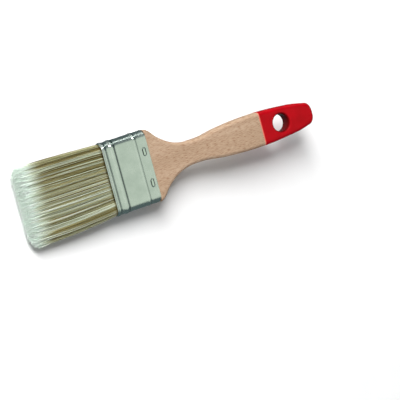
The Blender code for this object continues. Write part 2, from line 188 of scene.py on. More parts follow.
# Studio.
WHITE = (1.0, 1.0, 1.0)
WORLD_FILL = (0.08, 0.08, 0.08)
WORLD_MIRRORED = (0.120, 0.158, 0.168)
WORLD_GLOW = (0.50, 0.51, 0.51)
GLOW_SIDE = (-0.75, 0.60, 0.28)
FLOOR_HALF_SIDE = 0.7
FLOOR_HEIGHT = 0.0008
FLOOR_TILT = math.radians(5.1)


def srgb(red, green, blue):
    """Linear colour of an 8-bit screen colour."""
    return tuple(((c / 255 + 0.055) / 1.055) ** 2.4 if c > 10 else c / 255 / 12.92
                 for c in (red, green, blue))


# ---------------------------------------------------------------- node helpers


def new_material(name):
    material = bpy.data.materials.new(name)
    material.use_nodes = True
    return material, material.node_tree, material.node_tree.nodes["Principled BSDF"]


def add_node(tree, kind, inputs=None, **settings):
    """A node with its settings, and its inputs set from values or linked from sockets."""
    made = tree.nodes.new(kind)
    for name, value in settings.items():
        setattr(made, name, value)
    for key, value in (inputs or {}).items():
        socket = made.inputs[key]
        if isinstance(value, bpy.types.NodeSocket):
            tree.links.new(value, socket)
        else:
            socket.default_value = value
    return made


def mapped(tree, scale):
    """Object coordinates, stretched by scale."""
    place = add_node(tree, "ShaderNodeTexCoord")
    mapping = add_node(tree, "ShaderNodeMapping", {"Vector": place.outputs["Object"]})
    mapping.inputs["Scale"].default_value = scale
    return mapping.outputs["Vector"]


def noise(tree, vector, scale, detail=2.0, roughness=0.5):
    inputs = {"Vector": vector, "Scale": scale, "Detail": detail, "Roughness": roughness}
    return add_node(tree, "ShaderNodeTexNoise", inputs).outputs["Fac"]


def ramp(tree, value, stops):
    """A colour ramp; stops are (position, colour)."""
    made = add_node(tree, "ShaderNodeValToRGB", {"Fac": value})
    elements = made.color_ramp.elements
    while len(elements) < len(stops):
        elements.new(0.5)
    for element, (position, colour) in zip(elements, stops):
        element.position = position
        element.color = (*colour, 1.0)
    return made.outputs["Color"]


def fade(tree, value, low, high, bottom=0.0, top=1.0):
    """A smooth step of value from bottom at low to top at high."""
    inputs = {"Value": value, "From Min": low, "From Max": high, "To Min": bottom, "To Max": top}
    return add_node(tree, "ShaderNodeMapRange", inputs, interpolation_type="SMOOTHSTEP").outputs["Result"]


def mix(tree, factor, a, b, blend="MIX"):
    """A colour mix; a and b are sockets or colours."""
    made = tree.nodes.new("ShaderNodeMix")
    made.data_type = "RGBA"
    made.blend_type = blend
    for index, value in ((0, factor), (6, a), (7, b)):
        socket = made.inputs[index]
        if isinstance(value, bpy.types.NodeSocket):
            tree.links.new(value, socket)
        else:
            socket.default_value = (*value, 1.0) if isinstance(value, tuple) else value
    return made.outputs[2]


def bump(tree, height, strength, distance):
    return add_node(tree, "ShaderNodeBump",
                    {"Height": height, "Strength": strength, "Distance": distance}).outputs["Normal"]


def coordinate(tree, axis):
    place = add_node(tree, "ShaderNodeTexCoord")
    return add_node(tree, "ShaderNodeSeparateXYZ", {"Vector": place.outputs["Object"]}).outputs[axis]


def distance_from(tree, middle_x, middle_y):
    """How far a point lies from the upright line through a place."""
    offsets = {}
    for axis, middle in (("X", middle_x), ("Y", middle_y)):
        inputs = {0: coordinate(tree, axis), 1: middle}
        offsets[axis] = add_node(tree, "ShaderNodeMath", inputs, operation="SUBTRACT").outputs[0]
    flat = add_node(tree, "ShaderNodeCombineXYZ", offsets).outputs["Vector"]
    return add_node(tree, "ShaderNodeVectorMath", {0: flat}, operation="LENGTH").outputs["Value"]


# ---------------------------------------------------------------- materials


def make_beech():
    """Raw sanded beech: soft long grain, short ray flecks, dark and pale, and fine pores."""
    material, tree, shader = new_material("beech_grain")
    grain = noise(tree, mapped(tree, (6.0, 90.0, 60.0)), 2.4, 4.0, 0.55)
    rays = noise(tree, mapped(tree, (330.0, 1900.0, 1300.0)), 1.0, 1.0, 0.5)
    pores = noise(tree, mapped(tree, (700.0, 6500.0, 6500.0)), 1.0, 1.0)
    tones = ((0.30, srgb(158, 131, 107)), (0.52, srgb(168, 141, 117)), (0.72, srgb(177, 152, 129)))
    colour = ramp(tree, grain, tones)
    flecks = fade(tree, rays, 0.52, 0.68)
    colour = mix(tree, flecks, colour, mix(tree, 1.0, colour, srgb(219, 200, 184), "MULTIPLY"))
    pale = fade(tree, rays, 0.44, 0.28, 0.0, 0.5)
    colour = mix(tree, pale, colour, srgb(186, 163, 137))
    dots = fade(tree, pores, 0.62, 0.72, 0.0, 0.35)
    colour = mix(tree, dots, colour, srgb(132, 104, 78))
    tree.links.new(colour, shader.inputs["Base Color"])
    tree.links.new(fade(tree, grain, 0.3, 0.7, 0.50, 0.62), shader.inputs["Roughness"])
    tree.links.new(bump(tree, rays, 0.35, 0.00006), shader.inputs["Normal"])
    return material


def make_red_lacquer(edge):
    """Gloss lacquer with a faint orange-peel surface: paler at its edge on the wood, with painted shade
    round and in the hole.
    """
    material, tree, shader = new_material("red_lacquer_gloss")
    cloud = noise(tree, mapped(tree, (1.0, 1.0, 1.0)), 90.0, 2.0)
    colour = ramp(tree, cloud, ((0.35, srgb(150, 1, 12)), (0.65, srgb(164, 2, 16))))
    thin = fade(tree, coordinate(tree, "X"), edge + 0.0002, edge + 0.0009, 1.0, 0.0)
    colour = mix(tree, thin, colour, srgb(216, 112, 96))
    # Painted shade: the red is darkened near and inside the hanging hole.
    from_hole = distance_from(tree, MOUTH.x + HOLE_PLACE, 0.0)
    painted_hole_shade = fade(tree, from_hole, HOLE_RADIUS + 0.0003, HOLE_RADIUS + 0.0016, 1.0, 0.0)
    colour = mix(tree, painted_hole_shade, colour, srgb(92, 0, 2))
    tree.links.new(colour, shader.inputs["Base Color"])
    peel = noise(tree, mapped(tree, (1.0, 1.0, 1.0)), 700.0, 1.0)
    tree.links.new(bump(tree, peel, 0.12, 0.00008), shader.inputs["Normal"])
    tree.links.new(fade(tree, cloud, 0.3, 0.7, 0.20, 0.27), shader.inputs["Roughness"])
    shader.inputs["Specular IOR Level"].default_value = 0.12
    return material


def make_tinplate():
    """Dull tin: a pale metal with faint clouds, fine rolling lines that run round it, and painted shade in
    its grooves.
    """
    material, tree, shader = new_material("tinplate_rolled")
    clouds = noise(tree, mapped(tree, (1.0, 1.0, 1.0)), 110.0, 3.0)
    lines = noise(tree, mapped(tree, (2600.0, 60.0, 60.0)), 1.0, 2.0)
    colour = ramp(tree, clouds, ((0.30, srgb(191, 202, 194)), (0.70, srgb(208, 218, 210))))
    painted_shade = add_node(tree, "ShaderNodeAttribute", attribute_name="painted_shade").outputs["Fac"]
    # Painted shade: the attribute darkens the tin in the groove round each staple and in bands behind the
    # beads.
    colour = mix(tree, painted_shade, colour, srgb(42, 54, 50))
    tree.links.new(colour, shader.inputs["Base Color"])
    rough = add_node(tree, "ShaderNodeMath", {0: fade(tree, clouds, 0.3, 0.7, 0.21, 0.26),
                                             1: fade(tree, lines, 0.3, 0.7, -0.02, 0.04)}, operation="ADD")
    tree.links.new(rough.outputs[0], shader.inputs["Roughness"])
    tree.links.new(bump(tree, lines, 0.10, 0.00002), shader.inputs["Normal"])
    shader.inputs["Metallic"].default_value = 1.0
    return material


def make_wire():
    """Drawn wire: bright metal with fine lines along it."""
    material, tree, shader = new_material("staple_wire_drawn")
    lines = noise(tree, mapped(tree, (2500.0, 200.0, 2500.0)), 1.0, 2.0)
    tree.links.new(ramp(tree, lines, ((0.3, srgb(196, 210, 198)), (0.7, srgb(216, 228, 216)))),
                   shader.inputs["Base Color"])
    tree.links.new(fade(tree, lines, 0.3, 0.7, 0.16, 0.28), shader.inputs["Roughness"])
    shader.inputs["Metallic"].default_value = 1.0
    return material


def make_plug_wood():
    """Rough sawn softwood."""
    material, tree, shader = new_material("plug_wood_sawn")
    grain = noise(tree, mapped(tree, (60.0, 900.0, 400.0)), 1.0, 3.0)
    tree.links.new(ramp(tree, grain, ((0.3, srgb(176, 142, 104)), (0.7, srgb(214, 184, 146)))),
                   shader.inputs["Base Color"])
    tree.links.new(bump(tree, grain, 0.5, 0.0001), shader.inputs["Normal"])
    shader.inputs["Roughness"].default_value = 0.75
    return material


def make_resin():
    """Cloudy amber resin with a slightly uneven surface."""
    material, tree, shader = new_material("setting_resin_cured")
    cloud = noise(tree, mapped(tree, (1.0, 1.0, 1.0)), 260.0, 3.0)
    tree.links.new(ramp(tree, cloud, ((0.3, srgb(150, 118, 62)), (0.7, srgb(188, 158, 92)))),
                   shader.inputs["Base Color"])
    tree.links.new(bump(tree, cloud, 0.3, 0.0001), shader.inputs["Normal"])
    shader.inputs["Roughness"].default_value = 0.25
    return material


def make_filament():
    """Variegated filament: a shade by kind, with painted shade in the ferrule and at its mouth, fading
    through cream to pale tips.

    The map's first coordinate picks the filament's kind, and the second runs from root to tip.
    """
    material, tree, shader = new_material("filament_variegated")
    place = add_node(tree, "ShaderNodeUVMap", uv_map=FILAMENT_MAP)
    parts = add_node(tree, "ShaderNodeSeparateXYZ", {"Vector": place.outputs["UV"]})
    kinds = (
        (0.00, srgb(88, 76, 36)),
        (0.14, srgb(114, 102, 54)),
        (0.28, srgb(136, 126, 78)),
        (0.42, srgb(151, 146, 100)),
        (0.56, srgb(162, 168, 133)),
        (0.70, srgb(181, 188, 157)),
        (0.85, srgb(202, 211, 187)),
        (1.00, srgb(220, 230, 213)),
    )
    shade = ramp(tree, parts.outputs["X"], kinds)
    # Painted shade: filaments are darkened inside the ferrule and fade to their own shade just out of its
    # mouth.
    root = fade(tree, parts.outputs["Y"], MAP_MOUTH - 0.04, MAP_MOUTH + 0.04)
    shade = mix(tree, root, mix(tree, 1.0, shade, srgb(140, 132, 104), "MULTIPLY"), shade)
    cream = fade(tree, parts.outputs["Y"], MAP_FADE, MAP_FADE + 0.12)
    shade = mix(tree, cream, shade, mix(tree, 0.55, shade, srgb(196, 206, 168)))
    tip = fade(tree, parts.outputs["Y"], MAP_FADE + 0.04, MAP_TIP - 0.01)
    pale = ramp(tree, parts.outputs["X"], ((0.25, srgb(226, 246, 230)), (0.85, srgb(244, 255, 246))))
    shade = mix(tree, tip, shade, pale)
    tree.links.new(shade, shader.inputs["Base Color"])
    shader.inputs["Roughness"].default_value = 0.42
    shader.inputs["Specular IOR Level"].default_value = 0.35
    shader.inputs["Subsurface Weight"].default_value = 0.5
    shader.inputs["Subsurface Radius"].default_value = (1.0, 1.0, 1.0)
    shader.inputs["Subsurface Scale"].default_value = 0.0006
    return material


# ---------------------------------------------------------------- mesh helpers


def link(name, mesh, material=None):
    obj = bpy.data.objects.new(name, mesh)
    bpy.context.scene.collection.objects.link(obj)
    if material is not None:
        mesh.materials.clear()
        mesh.materials.append(material)
    return obj


def mesh_of(curve):
    """The welded mesh of a filled or bevelled curve."""
    holder = link(curve.name, curve)
    evaluated = holder.evaluated_get(bpy.context.evaluated_depsgraph_get())
    mesh = bpy.data.meshes.new_from_object(evaluated)
    bpy.data.objects.remove(holder)
    clean(mesh)
    return mesh


def clean(mesh):
    """Welds the mesh and turns its faces outwards."""
    shape = bmesh.new()
    shape.from_mesh(mesh)
    bmesh.ops.remove_doubles(shape, verts=shape.verts, dist=1e-6)
    bmesh.ops.recalc_face_normals(shape, faces=shape.faces)
    shape.to_mesh(mesh)
    shape.free()


def close_ends(mesh):
    """Fills the open ends of a tube."""
    shape = bmesh.new()
    shape.from_mesh(mesh)
    bmesh.ops.holes_fill(shape, edges=[edge for edge in shape.edges if edge.is_boundary])
    bmesh.ops.recalc_face_normals(shape, faces=shape.faces)
    shape.to_mesh(mesh)
    shape.free()


def box_mesh(low, high):
    mesh = bpy.data.meshes.new("box")
    shape = bmesh.new()
    bmesh.ops.create_cube(shape, size=1.0)
    size = Vector(high) - Vector(low)
    centre = 0.5 * (Vector(high) + Vector(low))
    bmesh.ops.transform(shape, matrix=Matrix.Translation(centre) @ Matrix.Diagonal((*size, 1.0)),
                        verts=shape.verts)
    shape.to_mesh(mesh)
    shape.free()
    return mesh


def carve(mesh, steps):
    """The mesh after Boolean steps, each an operation and the mesh that it uses."""
    obj = link("carved", mesh)
    helpers = []
    for operation, operand in steps:
        helper = link("helper", operand)
        helpers.append(helper)
        modifier = obj.modifiers.new(operation, "BOOLEAN")
        modifier.operation = operation
        modifier.object = helper
    evaluated = obj.evaluated_get(bpy.context.evaluated_depsgraph_get())
    result = bpy.data.meshes.new_from_object(evaluated)
    for used in (*helpers, obj):
        bpy.data.objects.remove(used)
    clean(result)
    return result


def finish_surface(obj, angle=math.radians(40)):
    """Smooth shading that keeps flat faces flat beside their rounded edges."""
    obj.data.shade_smooth()
    obj.data.set_sharp_from_angle(angle=angle)
    weighted = obj.modifiers.new("weighted normals", "WEIGHTED_NORMAL")
    weighted.keep_sharp = True
    weighted.weight = 80


def grid_mesh(name, rows, close_rows=False):
    """Quads between rows of points that each close on themselves; close_rows joins the last to the first."""
    points = np.asarray(rows, float)
    count, around, _ = points.shape
    row = np.arange(count if close_rows else count - 1)
    column = np.arange(around)
    here = row[:, None] * around + column[None, :]
    beside = row[:, None] * around + (column[None, :] + 1) % around
    after = ((row[:, None] + 1) % count) * around + column[None, :]
    beyond = ((row[:, None] + 1) % count) * around + (column[None, :] + 1) % around
    faces = np.stack([here, beside, beyond, after], -1).reshape(-1, 4)
    mesh = bpy.data.meshes.new(name)
    mesh.from_pydata(points.reshape(-1, 3).tolist(), [], faces.tolist())
    clean(mesh)
    return mesh


# ---------------------------------------------------------------- handle and lacquer


def board(grow=0.0):
    """The handle's board with rounded edges, drawn about the mouth's centre and then put in place."""
    curve = bpy.data.curves.new("board", "CURVE")
    curve.dimensions = "2D"
    curve.fill_mode = "BOTH"
    curve.extrude = BOARD_HALF - BOARD_EDGE_RADIUS
    curve.bevel_depth = BOARD_EDGE_RADIUS + grow
    curve.bevel_resolution = 7
    curve.offset = -BOARD_EDGE_RADIUS
    curve.resolution_u = 24
    spline = curve.splines.new("BEZIER")
    head = (HEAD_START, FILL_HALF_WIDTH)
    upper = [(head, "VECTOR")] + [(place, "AUTO") for place in HANDLE_HALF_OUTLINE]
    lower = [((x, -y), kind) for (x, y), kind in reversed(upper)]
    places = upper + [((HANDLE_END, 0.0), "AUTO")] + lower
    spline.bezier_points.add(len(places) - 1)
    for point, ((x, y), kind) in zip(spline.bezier_points, places):
        point.co = (x, y, 0.0)
        point.handle_left_type = kind
        point.handle_right_type = kind
    spline.use_cyclic_u = True
    mesh = mesh_of(curve)
    mesh.transform(Matrix.Translation(MOUTH))
    return mesh


def hole(inset):
    """The hanging hole's space, grown by inset into the wood: a bore with rounded lips."""
    steps = 12
    around = 96
    lip = []
    for step in range(steps + 1):
        angle = 0.5 * math.pi * step / steps
        radius = HOLE_RADIUS + HOLE_LIP_RADIAL - (HOLE_LIP_RADIAL - inset) * math.cos(angle)
        height = BOARD_HALF + LACQUER_PROUD - HOLE_LIP_AXIAL + (HOLE_LIP_AXIAL - inset) * math.sin(angle)
        lip.append((radius, height))
    top = BOARD_HALF + CUT_MARGIN
    profile = [(lip[-1][0], top)] + list(reversed(lip)) + [(radius, -height) for radius, height in lip]
    profile.append((lip[-1][0], -top))
    turns = [2 * math.pi * step / around for step in range(around)]
    rows = [[(radius * math.cos(turn), radius * math.sin(turn), height) for turn in turns]
            for radius, height in profile]
    mesh = grid_mesh("hole", rows)
    close_ends(mesh)
    mesh.transform(Matrix.Translation(MOUTH + Vector((HOLE_PLACE, 0.0, 0.0))))
    return mesh


def oval_points(half_width, half_thickness, steps=16, flat_places=()):
    """The ferrule's oval, as (y, z), with extra points at the given places along each flat face."""
    points = []
    for side, first_angle in ((1, 0.5 * math.pi), (-1, -0.5 * math.pi)):
        for step in range(steps + 1):
            angle = first_angle - math.pi * step / steps
            y = side * (half_width - half_thickness) + half_thickness * math.cos(angle)
            points.append((y, half_thickness * math.sin(angle)))
        points += [(y, -side * half_thickness) for y in sorted(flat_places, reverse=side > 0)]
    return points


def oval_bar(start, end, half_width, half_thickness):
    """A solid bar of the ferrule's oval section."""
    rows = [[(place, y, z) for y, z in oval_points(half_width, half_thickness)] for place in (start, end)]
    mesh = grid_mesh("oval_bar", rows)
    close_ends(mesh)
    mesh.transform(Matrix.Translation(MOUTH))
    return mesh


def local_box(start, end, half_width=0.04, half_height=CUT_MARGIN * 3):
    """A box across the whole brush between two places along it."""
    low = MOUTH + Vector((start, -half_width, -half_height))
    return box_mesh(low, MOUTH + Vector((end, half_width, half_height)))


def make_handle(wood):
    """The board, thinned to the oval head inside the ferrule and cut back under the lacquer."""
    head = oval_bar(-CUT_MARGIN, FERRULE_LENGTH + CUT_MARGIN, FILL_HALF_WIDTH, FILL_HALF_THICKNESS)
    milling = carve(local_box(0.0, FERRULE_LENGTH + CLEARANCE), [("DIFFERENCE", head)])
    core = board(LACQUER_PROUD - LACQUER)
    stripping = carve(local_box(DIP_START, HANDLE_END + CUT_MARGIN), [("DIFFERENCE", core)])
    mesh = carve(board(), [("DIFFERENCE", milling), ("DIFFERENCE", stripping),
                           ("DIFFERENCE", hole(LACQUER))])
    handle = link("handle_board", mesh, wood)
    finish_surface(handle)
    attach(handle, "brush")
    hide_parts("handle")


def make_lacquer(red):
    """The skin of lacquer over the handle's end, and the lined hanging hole."""
    inside = carve(board(LACQUER_PROUD - LACQUER), [("DIFFERENCE", hole(LACQUER))])
    mesh = carve(board(LACQUER_PROUD), [("INTERSECT", local_box(DIP_START, HANDLE_END + CUT_MARGIN)),
                                        ("DIFFERENCE", inside), ("DIFFERENCE", hole(0.0))])
    lacquer = link("lacquer_skin", mesh, red)
    finish_surface(lacquer)
    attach(lacquer, "brush")
    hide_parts("red_lacquer_dip")


# ---------------------------------------------------------------- ferrule and staples


def bead_rise(place):
    """How far the sheet stands out at a place along the ferrule."""
    rise = 0.0
    for crest, before, after, height in BEADS:
        reach = before if place < crest else after
        share = abs(place - crest) / reach
        if share < 1:
            rise = max(rise, height * BEAD_HEIGHT * math.cos(0.5 * math.pi * share) ** 2)
    return rise


def spread(low, high, coarse, fine_ranges, gap):
    """Places from low to high: coarse even ones, and the fine ranges' own, never closer than gap."""
    places = set(np.linspace(low, high, coarse))
    for start, end, count in fine_ranges:
        places.update(place for place in np.linspace(start, end, count) if low <= place <= high)
    kept = []
    for place in sorted(places):
        if not kept or place - kept[-1] > gap:
            kept.append(float(place))
    return kept


def ferrule_stations():
    """Places along the ferrule, close together on the beads and round the staples."""
    reach = 0.5 * STAPLE_WIDTH + DIMPLE_FLOOR + DIMPLE_WALL
    fine = [(crest - before, crest + after, 45) for crest, before, after, _ in BEADS]
    fine.append((STAPLE_PLACE - reach, STAPLE_PLACE + reach, 25))
    fine.append((FERRULE_LENGTH - 0.0003, FERRULE_LENGTH, 4))
    return spread(0.0, FERRULE_LENGTH, 20, fine, 0.00004)


def flat_places(half_flat):
    """Places across a flat face, close together round the staples and at the seam."""
    reach = 0.5 * STAPLE_LENGTH + DIMPLE_FLOOR + DIMPLE_WALL
    middles = (0.5 * STAPLE_SPACING, -0.5 * STAPLE_SPACING)
    fine = [(middle - reach, middle + reach, 45) for middle in middles]
    fine.append((-0.5 * SEAM_WIDTH - 0.0002, -0.5 * SEAM_WIDTH + 0.0002, 5))
    return spread(-half_flat * 0.995, half_flat * 0.995, 60, fine, 0.00006)


def staple_distance(place, y):
    """How far a point on a face lies outside the nearer staple's outline, a bar with round ends."""
    across = 0.5 * (STAPLE_LENGTH - STAPLE_WIDTH)
    beyond = max(0.0, abs(abs(y) - 0.5 * STAPLE_SPACING) - across)
    return math.hypot(place - STAPLE_PLACE, beyond) - 0.5 * STAPLE_WIDTH


def smooth_step(share):
    share = min(1.0, max(0.0, share))
    return share * share * (3 - 2 * share)


def dimple(place, y):
    """How deep the sheet is pressed in under and around a staple."""
    return DIMPLE_DEPTH * (1 - smooth_step((staple_distance(place, y) - DIMPLE_FLOOR) / DIMPLE_WALL))


def seam(y, z):
    """The lap of the sheet's two edges down the middle of the back face."""
    if z > 0:
        return 0.0
    share = (y + 0.5 * SEAM_WIDTH) / SEAM_WIDTH
    return SEAM_RISE * max(0.0, 1 - share) if 0 <= share <= 1 else 0.0


def make_ferrule(metal):
    """The sleeve of thin sheet: beads, dimples, the lap seam and turned rims, inside and outside."""
    half_width = 0.5 * FERRULE_WIDTH
    half_thickness = 0.5 * FERRULE_THICKNESS
    oval = oval_points(half_width, half_thickness, 40, flat_places(half_width - half_thickness))
    normals = []
    for y, z in oval:
        middle = max(-(half_width - half_thickness), min(half_width - half_thickness, y))
        normals.append(((y - middle) / half_thickness, z / half_thickness))

    def ring(place, inset):
        row = []
        for (y, z), (normal_y, normal_z) in zip(oval, normals):
            flat = abs(normal_z) > 0.99
            out = bead_rise(place) - inset
            if flat:
                out += seam(y, z) - dimple(place, y)
            row.append((place, y + out * normal_y, z + out * normal_z))
        return row

    places = ferrule_stations()
    rim = 0.5 * SHEET
    rows = [ring(place, 0.0) for place in places]
    rows += [[(x + rim * HANDLE_RIM_BULGE, y, z) for x, y, z in ring(places[-1], rim)]]
    rows += [ring(place, SHEET) for place in np.linspace(FERRULE_LENGTH, 0.0, 60)]
    rows += [[(x - rim * MOUTH_RIM_BULGE, y, z) for x, y, z in ring(places[0], rim)]]
    mesh = grid_mesh("ferrule_sleeve", rows, close_rows=True)
    mesh.transform(Matrix.Translation(MOUTH))
    ferrule = link("ferrule_sleeve", mesh, metal)
    ferrule.data.shade_smooth()
    add_painted_shade(ferrule.data)
    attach(ferrule, "brush")
    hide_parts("ferrule")


def add_painted_shade(mesh):
    """An attribute for painted shade: full in the groove round each staple, faint in bands behind the beads.
    """
    painted_shade = []
    for vertex in mesh.vertices:
        place = vertex.co.x - MOUTH.x
        amount = 0.0
        if abs(vertex.co.z - MOUTH.z) > 0.5 * FERRULE_THICKNESS - DIMPLE_DEPTH - SHEET:
            gap = staple_distance(place, vertex.co.y)
            amount = smooth_step((gap + GROOVE_DARK_INSIDE) / GROOVE_DARK_EDGE)
            amount *= 1 - smooth_step((gap - GROOVE_DARK_EDGE) / GROOVE_DARK_EDGE)
        for middle, reach, depth in PAINTED_BEAD_SHADE:
            amount = max(amount, depth * (1 - smooth_step(abs(place - middle) / reach)))
        painted_shade.append(amount)
    mesh.attributes.new("painted_shade", "FLOAT", "POINT").data.foreach_set("value", painted_shade)


def squarish(value):
    """Turns a circle's coordinate into that of a flattened wire's rounded rectangle."""
    return math.copysign(math.sqrt(abs(value)), value)


def staple_path():
    """A staple's centre line, as (y, z), from one leg's point over the crown to the other's."""
    reach = 0.5 * STAPLE_LENGTH
    path = [(-reach, -STAPLE_LEG), (-reach, -STAPLE_SHOULDER)]
    path += [(-reach + STAPLE_SHOULDER * (1 - math.cos(a)), -STAPLE_SHOULDER * (1 - math.sin(a)))
             for a in np.linspace(0.2, 0.5 * math.pi, 5)]
    return path + [(-y, z) for y, z in reversed(path)]


def staple_mesh():
    """Flattened wire: a crown with rounded shoulders that turns down into two pointed legs."""
    path = staple_path()
    rows = []
    for index, (y, z) in enumerate(path):
        before = path[max(0, index - 1)]
        after = path[min(len(path) - 1, index + 1)]
        tangent = Vector((after[0] - before[0], after[1] - before[1])).normalized()
        taper = STAPLE_POINT if index in (0, len(path) - 1) else 1.0
        row = []
        for turn in np.linspace(0, 2 * math.pi, 24, endpoint=False):
            width = 0.5 * STAPLE_WIDTH * taper * squarish(math.cos(turn))
            depth = STAPLE_HALF_DEPTH * squarish(math.sin(turn))
            row.append((width, y - tangent.y * depth, z + tangent.x * depth))
        rows.append(row)
    mesh = grid_mesh("staple", rows)
    close_ends(mesh)
    return mesh


def make_staples(wire):
    """Four staples, two pressed into each face."""
    height = 0.5 * FERRULE_THICKNESS - STAPLE_HALF_DEPTH
    for face, face_name in ((1, "front"), (-1, "back")):
        turn_over = Matrix.Identity(4) if face > 0 else Matrix.Rotation(math.pi, 4, "X")
        for side, side_name in ((1, "left"), (-1, "right")):
            place = MOUTH + Vector((STAPLE_PLACE, side * 0.5 * STAPLE_SPACING, face * height))
            mesh = staple_mesh()
            mesh.transform(Matrix.Translation(place) @ turn_over)
            staple = link(f"staple_wire_{face_name}_{side_name}", mesh, wire)
            staple.data.shade_smooth()
            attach(staple, "brush")
            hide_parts(f"staple_{face_name}_{side_name}")


# ---------------------------------------------------------------- filaments


def filament_places(random):
    """Cross-section places over the ferrule's inside, on a shaken hexagonal grid, as (y, z) arrays."""
    half_width = FILL_HALF_WIDTH - FILAMENT_RADIUS
    half_thickness = FILL_HALF_THICKNESS - FILAMENT_RADIUS
    step_z = FILAMENT_PITCH * math.sqrt(3) / 2
    rows = np.arange(-half_thickness, half_thickness + step_z, step_z)
    columns = np.arange(-half_width, half_width, FILAMENT_PITCH)
    z, y = np.meshgrid(rows, columns, indexing="ij")
    y = y + 0.5 * FILAMENT_PITCH * (np.arange(len(rows)) % 2)[:, None]
    y = (y + random.uniform(-FILAMENT_SHAKE, FILAMENT_SHAKE, y.shape) * FILAMENT_PITCH).ravel()
    z = (z + random.uniform(-FILAMENT_SHAKE, FILAMENT_SHAKE, z.shape) * FILAMENT_PITCH).ravel()
    beyond = np.maximum(0.0, np.abs(y) - (half_width - half_thickness))
    depth = half_thickness - np.hypot(beyond, z)
    kept = (depth >= 0) & ((depth < CORE_DEPTH) | (random.uniform(size=depth.shape) < CORE_SHARE))
    return y[kept], z[kept]


def wave(value, random, count, low, high):
    """A smooth random curve of value: a few sines with wavelengths between low and high, about -1 to 1."""
    total = np.zeros_like(value)
    for _ in range(count):
        length = math.exp(random.uniform(math.log(low), math.log(high)))
        total += np.sin(2 * math.pi * (value / length + random.uniform()))
    return total / math.sqrt(count)


def part_way(value, low, high):
    """How far value is on its way from low to high, between 0 and 1."""
    return np.clip((value - low) / (high - low), 0, 1)


def pack_half_width(out):
    """Half the pack's width at a place out."""
    swell = MOUTH_SWELL * part_way(out, 0.0, MOUTH_SWELL_LENGTH)
    return FILL_HALF_WIDTH + swell + WIDENING * np.sin(0.5 * math.pi * part_way(out, 0.0, WIDENING_LENGTH))


def pack_half_thickness(out):
    """Half the pack's thickness at a place out: a slight belly, then thinner to the tips."""
    free = part_way(out, 0.0, BRISTLE_OUT)
    return FILL_HALF_THICKNESS * (1 + 0.05 * np.sin(math.pi * free) - 0.20 * free ** 3)


def filament_lengths(y, z, random):
    """Each filament's own length, shorter at the corners and on the faces, so that the tip is rounded."""
    corner_width = np.where(y < 0, *CORNER_WIDTH)
    corner_depth = np.where(y < 0, *CORNER_DEPTH)
    corner = np.clip((np.abs(y) - (FILL_HALF_WIDTH - corner_width)) / corner_width, 0, 1)
    crown = part_way(np.abs(z), 0.0, FILL_HALF_THICKNESS)
    length = BRISTLE_OUT + STRAY_REACH - corner_depth * (1 - np.sqrt(1 - (0.98 * corner) ** 2))
    return length - CROWN_DEPTH * crown ** 2 - random.exponential(SHORT_MEAN, len(y)).clip(0, SHORT_MOST)


def make_clumps(y, z, random):
    """Clumps of filaments that stick together: the (y, z) seeds, and the number of each filament's clump."""
    seed_y = random.uniform(-1, 1, CLUMPS) * FILL_HALF_WIDTH
    seed_z = random.uniform(-1, 1, CLUMPS) * FILL_HALF_THICKNESS
    return seed_y, seed_z, np.hypot(y[:, None] - seed_y, z[:, None] - seed_z).argmin(1)


def filament_shades(z, seed_y, clump, random):
    """Each filament's kind: much like its clump's, and lowered inside the pack as painted shade."""
    tone = SHADE_MIDDLE + SHADE_WAVE * wave(seed_y, random, 3, 0.004, 0.016)
    tone = tone + random.normal(0, CLUMP_SHADE_SPREAD, CLUMPS)
    tone -= SHADE_SLANT * seed_y / FILL_HALF_WIDTH
    buried = part_way(FILL_HALF_THICKNESS - np.abs(z), 0.0, BURIED_DEPTH)
    return np.clip(tone[clump] + random.normal(0, SHADE_SPREAD, len(z)) - BURIED_PAINTED_SHADE * buried, 0.01, 0.99)


def fade_starts(y, clump, random):
    """Where each filament starts to fade to its pale tip, as a place out."""
    starts = FADE_START - FADE_SLANT * y / FILL_HALF_WIDTH + random.normal(0, FADE_SPREAD, len(y))
    starts += random.normal(0, CLUMP_FADE_SPREAD, CLUMPS)[clump]
    return starts


def ring_places(length, fade_start):
    """Places out of each filament's rings, with the last one at its tip."""
    out = np.empty((len(length), len(FIXED_RINGS) + len(FADE_RINGS) + 1))
    out[:, :len(FIXED_RINGS)] = FIXED_RINGS
    for index, part in enumerate(FADE_RINGS):
        before_tip = RING_GAP * (len(FADE_RINGS) - index)
        out[:, len(FIXED_RINGS) + index] = np.minimum(fade_start + part * FADE_LENGTH, length - before_tip)
    out[:, -1] = length
    return out


def wander(out, clump, axis, random):
    """How far each ring strays along an axis (0 across, 1 up): whole clumps lean, and the tips splay."""
    free = np.clip(out, 0, None) / BRISTLE_OUT
    leaning = random.normal(0, CLUMP_LEAN[axis], CLUMPS)[clump] + random.normal(0, LEAN[axis], len(out))
    splaying = random.normal(0, SPLAY[axis], len(out))
    splay = part_way(free, 0.78, 1.0) ** 1.5
    return free ** 1.4 * leaning[:, None] + splay * splaying[:, None]


